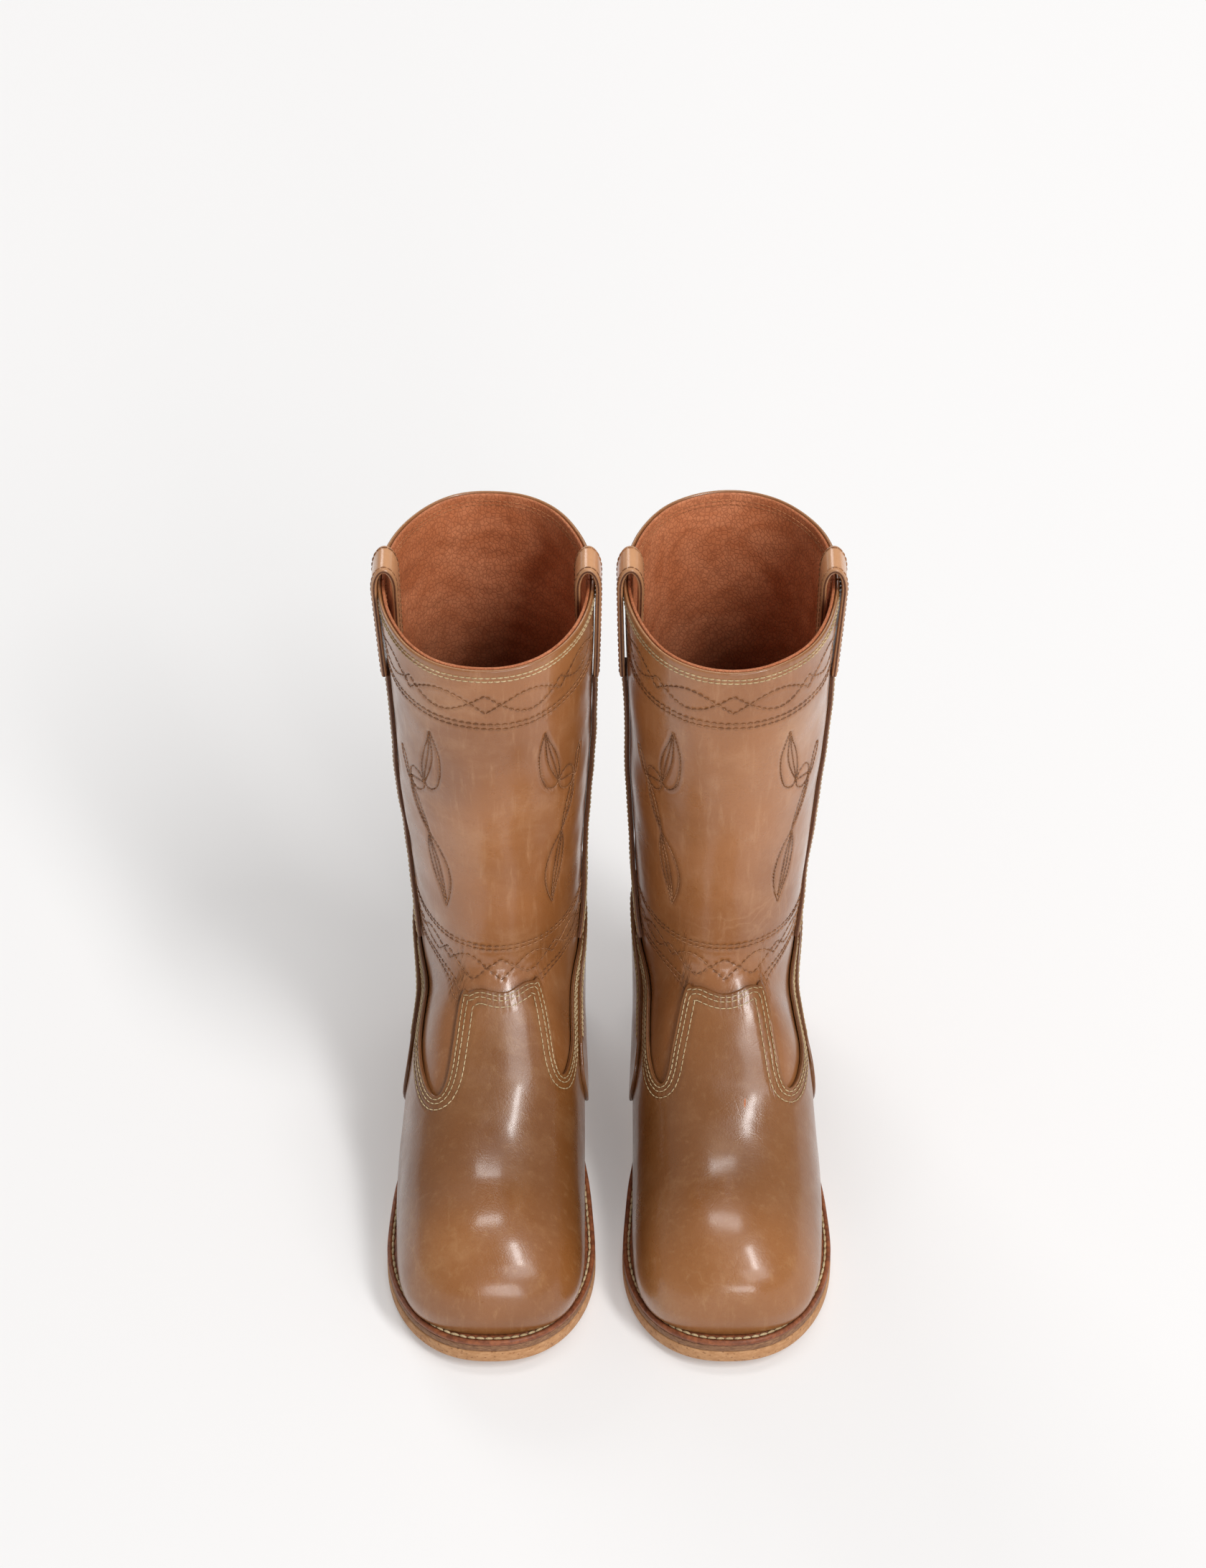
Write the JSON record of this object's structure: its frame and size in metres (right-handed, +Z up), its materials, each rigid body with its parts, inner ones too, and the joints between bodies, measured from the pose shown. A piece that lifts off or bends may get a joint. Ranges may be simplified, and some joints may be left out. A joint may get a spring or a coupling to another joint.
{
  "type": "cowboy boots",
  "caption": "Pair of mid-calf square-toed leather western boots with pull straps, stitched shafts, welted soles and stacked heels.",
  "frame": {"origin": "on the floor under the middle of the pair", "axes": "+Z up, toes towards -Y, the wearer's left boot on +X"},
  "size_m": [0.224, 0.2781, 0.353],
  "materials": {
    "upper_leather": "polished tan leather, mottled",
    "strap_leather": "tan leather with raw brown edges",
    "lining_leather": "orange-brown unpolished lining leather",
    "insole_leather": "raw vegetable-tanned board",
    "welt_leather": "reddish-brown dyed and burnished",
    "midsole_leather": "greyish-tan, dull edge",
    "crepe_outsole": "tan speckled crepe",
    "heel_leather": "stacked leather, burnished",
    "heel_rubber": "matt brown rubber",
    "fibreboard": "stiffened fibre sheet",
    "cork": "granulated cork",
    "steel": "plain steel",
    "thread": "beige waxed thread"
  },
  "bodies": {
    "right_boot": {"right_outsole": "crepe_outsole", "right_midsole": "midsole_leather", "right_welt": "welt_leather", "right_welt_thread": "thread", "right_insole_board": "insole_leather", "right_sock_liner": "lining_leather", "right_cork_filler": "cork", "right_shank": "steel", "right_shaft_front": "upper_leather", "right_shaft_back": "upper_leather", "right_shaft_lining_front": "lining_leather", "right_shaft_lining_back": "lining_leather", "right_vamp": "upper_leather", "right_vamp_lining": "lining_leather", "right_toe_puff": "fibreboard", "right_counter": "upper_leather", "right_counter_stiffener": "fibreboard", "right_side_strip_medial": "strap_leather", "right_side_strip_lateral": "strap_leather", "right_heel_top_piece": "heel_rubber", "right_heel_lift_1": "heel_leather", "right_heel_lift_2": "heel_leather", "right_heel_lift_3": "heel_leather", "right_heel_nail_1": "steel", "right_heel_nail_2": "steel", "right_heel_nail_3": "steel", "right_heel_nail_4": "steel"},
    "left_boot": {"left_outsole": "crepe_outsole", "left_midsole": "midsole_leather", "left_welt": "welt_leather", "left_welt_thread": "thread", "left_insole_board": "insole_leather", "left_sock_liner": "lining_leather", "left_cork_filler": "cork", "left_shank": "steel", "left_shaft_front": "upper_leather", "left_shaft_back": "upper_leather", "left_shaft_lining_front": "lining_leather", "left_shaft_lining_back": "lining_leather", "left_vamp": "upper_leather", "left_vamp_lining": "lining_leather", "left_toe_puff": "fibreboard", "left_counter": "upper_leather", "left_counter_stiffener": "fibreboard", "left_side_strip_medial": "strap_leather", "left_side_strip_lateral": "strap_leather", "left_heel_top_piece": "heel_rubber", "left_heel_lift_1": "heel_leather", "left_heel_lift_2": "heel_leather", "left_heel_lift_3": "heel_leather", "left_heel_nail_1": "steel", "left_heel_nail_2": "steel", "left_heel_nail_3": "steel", "left_heel_nail_4": "steel"},
    "right_strap_medial": {"right_pull_strap_medial": "strap_leather"},
    "right_strap_lateral": {"right_pull_strap_lateral": "strap_leather"},
    "left_strap_medial": {"left_pull_strap_medial": "strap_leather"},
    "left_strap_lateral": {"left_pull_strap_lateral": "strap_leather"}
  },
  "joints": [
    {"name": "left_boot_lift", "type": "slide", "parent": "right_boot", "child": "left_boot", "axis": [0, 0, 1], "range_m": [0, 0.45]},
    {"name": "right_medial_strap_sway", "type": "hinge", "parent": "right_boot", "child": "right_strap_medial", "pos_m": [-0.0081, 0.06651, 0.287], "axis": [1, 0, 0], "range_deg": [-6, 6], "stiffness_Nm_per_rad": 0.2},
    {"name": "right_lateral_strap_sway", "type": "hinge", "parent": "right_boot", "child": "right_strap_lateral", "pos_m": [-0.1069, 0.06651, 0.287], "axis": [1, 0, 0], "range_deg": [-6, 6], "stiffness_Nm_per_rad": 0.2},
    {"name": "left_medial_strap_sway", "type": "hinge", "parent": "left_boot", "child": "left_strap_medial", "pos_m": [0.0081, 0.06651, 0.287], "axis": [1, 0, 0], "range_deg": [-6, 6], "stiffness_Nm_per_rad": 0.2},
    {"name": "left_lateral_strap_sway", "type": "hinge", "parent": "left_boot", "child": "left_strap_lateral", "pos_m": [0.1069, 0.06651, 0.287], "axis": [1, 0, 0], "range_deg": [-6, 6], "stiffness_Nm_per_rad": 0.2}
  ]
}
